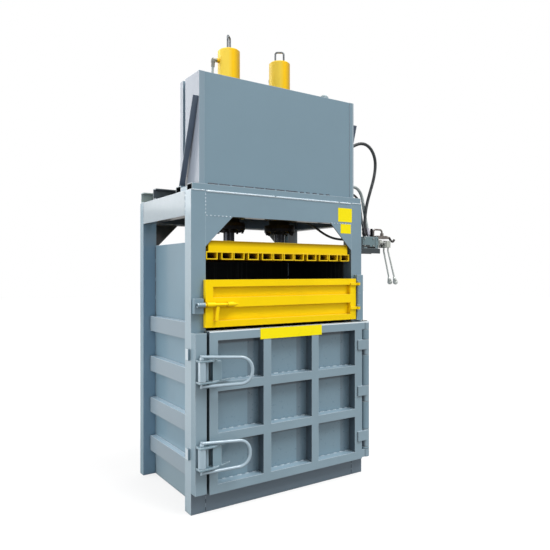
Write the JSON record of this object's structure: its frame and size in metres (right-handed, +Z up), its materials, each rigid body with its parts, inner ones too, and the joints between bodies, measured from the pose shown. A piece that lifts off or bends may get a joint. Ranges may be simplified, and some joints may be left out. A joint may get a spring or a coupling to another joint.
{
  "type": "recycling baler",
  "caption": "Vertical double-cylinder recycling baler with an oil tank on top, a hinged ribbed door, a yellow feed gate and a yellow press platen.",
  "frame": {"origin": "on the floor at the centre of the frame's footprint", "axes": "+Z up, -Y towards the operator at the doors, +X to the right seen from the front"},
  "size_m": [1.883, 1.0996, 3.207],
  "materials": {
    "machine_grey": "blue-grey machine enamel, satin",
    "machine_yellow": "yellow machine enamel, satin",
    "dark_paint": "dark primer paint, matt",
    "rod_chrome": "hard chromed and oiled",
    "plated_steel": "zinc plated, slightly dulled",
    "black_oxide": "black, oily",
    "valve_grey": "sprayed teal-grey",
    "hose_black": "black rubber cover",
    "hose_grey": "light grey rubber cover"
  },
  "bodies": {
    "frame": {"chamber_floor": "machine_grey", "cross_pipe": "plated_steel", "crossbeam_front": "machine_grey", "crossbeam_middle": "dark_paint", "crossbeam_rear": "machine_grey", "cylinder_left": "machine_yellow", "cylinder_mount_plate": "machine_grey", "cylinder_right": "machine_yellow", "gate_hinge_block": "machine_grey", "gate_keeper": "machine_grey", "gland_bolts": "black_oxide", "gland_left": "black_oxide", "gland_right": "black_oxide", "hinge_pin": "plated_steel", "hinge_post": "machine_grey", "hose_arch": "hose_black", "hose_cross": "hose_black", "hose_cylinder_left": "hose_grey", "hose_cylinder_right": "hose_grey", "hose_fittings": "plated_steel", "hose_lower": "hose_black", "hose_upper": "hose_grey", "latch_jamb": "machine_grey", "lifting_eyes": "plated_steel", "oil_tank": "machine_grey", "post_front_left": "machine_grey", "post_front_right": "machine_grey", "post_rear_left": "machine_grey", "post_rear_right": "machine_grey", "rear_wall": "machine_grey", "relief_valve": "plated_steel", "side_wall_left": "machine_grey", "side_wall_right": "machine_grey", "sill_front": "machine_grey", "sill_rear": "machine_grey", "tank_base": "machine_grey", "tank_brace_left": "dark_paint", "tank_brace_right": "dark_paint", "tank_breather": "plated_steel", "top_beam_front": "machine_grey", "top_beam_left": "machine_grey", "top_beam_rear": "machine_grey", "top_beam_right": "machine_grey", "valve_body": "valve_grey", "valve_bracket": "dark_paint"},
    "platen": {"platen_deck": "machine_yellow", "platen_frame": "machine_yellow", "piston_rod_left": "rod_chrome", "piston_rod_right": "rod_chrome"},
    "main_door": {"door_frame": "machine_grey", "door_skin": "machine_grey", "door_label_plate": "machine_yellow", "latch_bracket_upper": "machine_grey", "latch_bracket_lower": "machine_grey"},
    "handle_upper": {"latch_handle_upper": "machine_grey"},
    "handle_lower": {"latch_handle_lower": "machine_grey"},
    "feed_gate": {"gate_panel": "machine_yellow"},
    "bolt": {"gate_bolt": "machine_yellow"},
    "lever_front": {"valve_lever_front": "plated_steel"},
    "lever_rear": {"valve_lever_rear": "plated_steel"}
  },
  "joints": [
    {"name": "platen_stroke", "type": "slide", "parent": "frame", "child": "platen", "axis": [0, 0, -1], "range_m": [0, 1.05]},
    {"name": "main_door_hinge", "type": "hinge", "parent": "frame", "child": "main_door", "pos_m": [0.698, -0.482, 0.63], "axis": [0, 0, 1], "range_deg": [0, 170]},
    {"name": "handle_upper_pivot", "type": "hinge", "parent": "main_door", "child": "handle_upper", "pos_m": [-0.671, -0.537, 0.896], "axis": [0, 0, -1], "range_deg": [-17, 100]},
    {"name": "handle_lower_pivot", "type": "hinge", "parent": "main_door", "child": "handle_lower", "pos_m": [-0.671, -0.537, 0.372], "axis": [0, 0, -1], "range_deg": [-8, 110]},
    {"name": "feed_gate_hinge", "type": "hinge", "parent": "frame", "child": "feed_gate", "pos_m": [0.63, -0.493, 1.3], "axis": [0, 0, 1], "range_deg": [0, 120]},
    {"name": "gate_bolt_slide", "type": "slide", "parent": "feed_gate", "child": "bolt", "axis": [1, 0, 0], "range_m": [-0.01, 0.052]},
    {"name": "front_lever_pivot", "type": "hinge", "parent": "frame", "child": "lever_front", "pos_m": [1.064, -0.359, 1.712], "axis": [0, 1, 0], "range_deg": [-20, 20], "stiffness_Nm_per_rad": 12},
    {"name": "rear_lever_pivot", "type": "hinge", "parent": "frame", "child": "lever_rear", "pos_m": [1.064, -0.311, 1.712], "axis": [0, 1, 0], "range_deg": [-20, 20], "stiffness_Nm_per_rad": 12}
  ]
}
